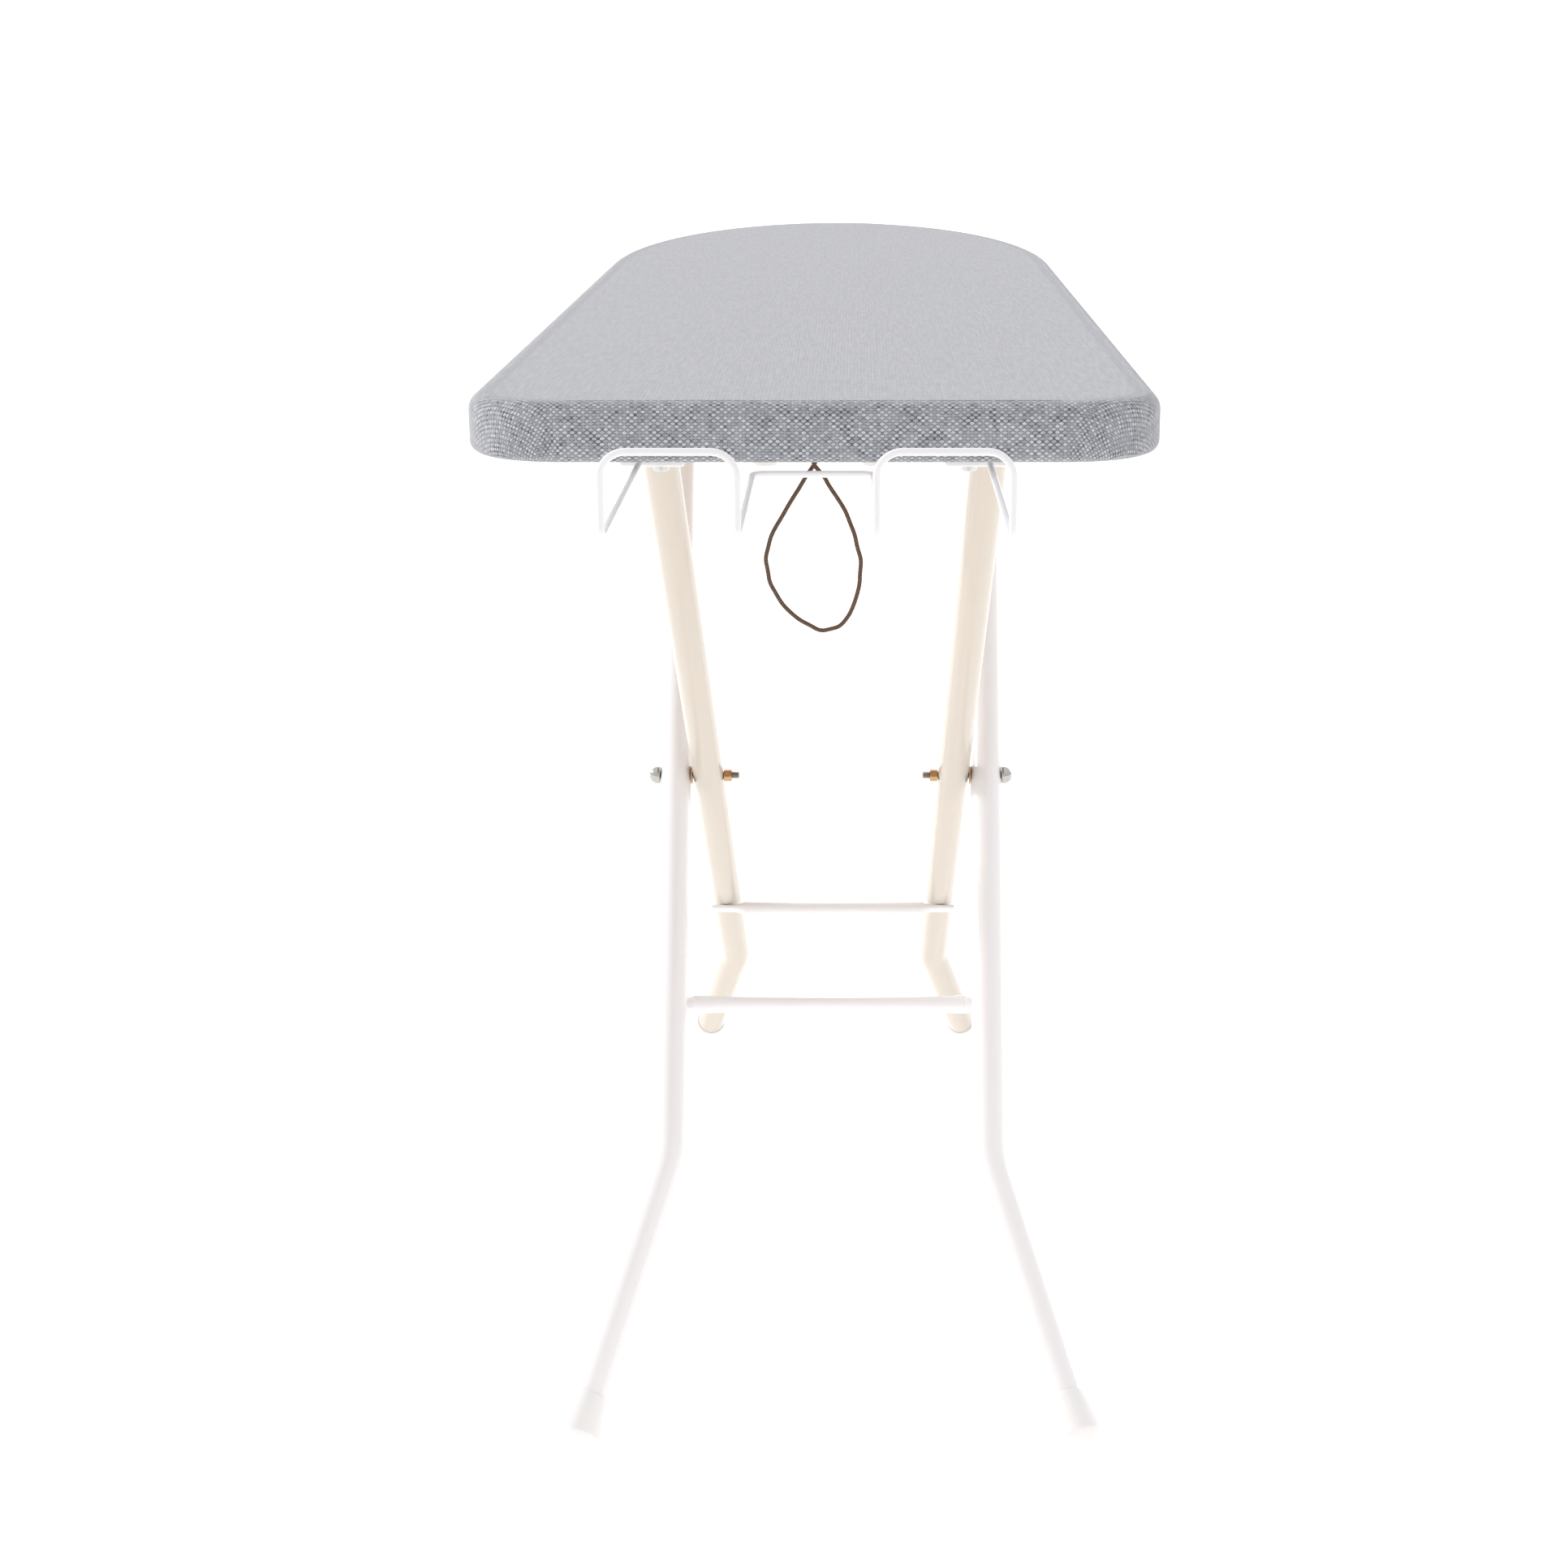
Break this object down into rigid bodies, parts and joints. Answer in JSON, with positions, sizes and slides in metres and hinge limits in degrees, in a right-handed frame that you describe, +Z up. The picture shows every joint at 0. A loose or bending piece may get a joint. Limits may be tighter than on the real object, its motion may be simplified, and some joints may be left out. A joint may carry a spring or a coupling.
{
  "type": "ironing board",
  "caption": "Small free-standing ironing board with a padded woven cover, folding crossed tube legs and a bent-wire iron rest at its square end.",
  "frame": {"origin": "on the floor, under the middle of the bounding box", "axes": "+Z up, +Y along the board from its square end to its nose, +X to the right"},
  "size_m": [0.3458, 1.306, 0.7058],
  "materials": {
    "wood": "raw particle board",
    "pad": "needled felt and foam",
    "cover": "grey melange woven cotton",
    "cord": "braided brown drawcord",
    "outer_paint": "white gloss powder coat",
    "inner_paint": "ivory gloss powder coat",
    "wire_paint": "white gloss powder coat",
    "foot_plastic": "white moulded plastic, satin",
    "bracket_plastic": "white moulded plastic",
    "bracket_steel": "white painted steel",
    "chrome": "bright chrome plate",
    "zinc": "yellow zinc plated steel",
    "screws": "zinc plated steel"
  },
  "bodies": {
    "board": {"board_panel": "wood", "foam_pad": "pad", "cover": "cover", "hem_eyelet": "screws", "drawcord_loop": "cord", "iron_rest_wire": "wire_paint", "iron_rest_clip_left": "bracket_plastic", "iron_rest_clip_right": "bracket_plastic", "iron_rest_screws": "screws", "hinge_block_left": "bracket_plastic", "hinge_block_right": "bracket_plastic", "hinge_strap_left": "bracket_steel", "hinge_strap_right": "bracket_steel", "hinge_screws": "screws", "rack_rail_left": "bracket_steel", "rack_rail_right": "bracket_steel", "rack_keeper_left": "bracket_steel", "rack_keeper_right": "bracket_steel", "rack_spacers": "bracket_steel", "keeper_screws": "screws", "rail_screws": "screws"},
    "outer_leg": {"outer_leg_tube_left": "outer_paint", "outer_leg_tube_right": "outer_paint", "outer_leg_top_bar": "outer_paint", "outer_crossbar": "outer_paint", "outer_foot_cap_left": "foot_plastic", "outer_foot_cap_right": "foot_plastic", "pivot_bolt_left": "chrome", "pivot_bolt_right": "chrome", "pivot_nut_left": "zinc", "pivot_nut_right": "zinc", "pivot_washer_left": "zinc", "pivot_washer_right": "zinc"},
    "inner_leg": {"inner_leg_tube_left": "inner_paint", "inner_leg_tube_right": "inner_paint", "inner_leg_top_bar": "inner_paint", "inner_crossbar": "inner_paint", "inner_foot_cap_left": "foot_plastic", "inner_foot_cap_right": "foot_plastic"}
  },
  "joints": [
    {"name": "leg_fold", "type": "hinge", "parent": "board", "child": "outer_leg", "pos_m": [0, 0.48192, 0.66], "axis": [-1, 0, 0], "range_deg": [0, 41.2]},
    {"name": "leg_pivot", "type": "hinge", "parent": "outer_leg", "child": "inner_leg", "pos_m": [0, 0.158, 0.345], "axis": [1, 0, 0], "range_deg": [0, 82.4]}
  ],
  "couplings": [
    {"joint": "leg_pivot", "follows": "leg_fold", "ratio": 2}
  ]
}
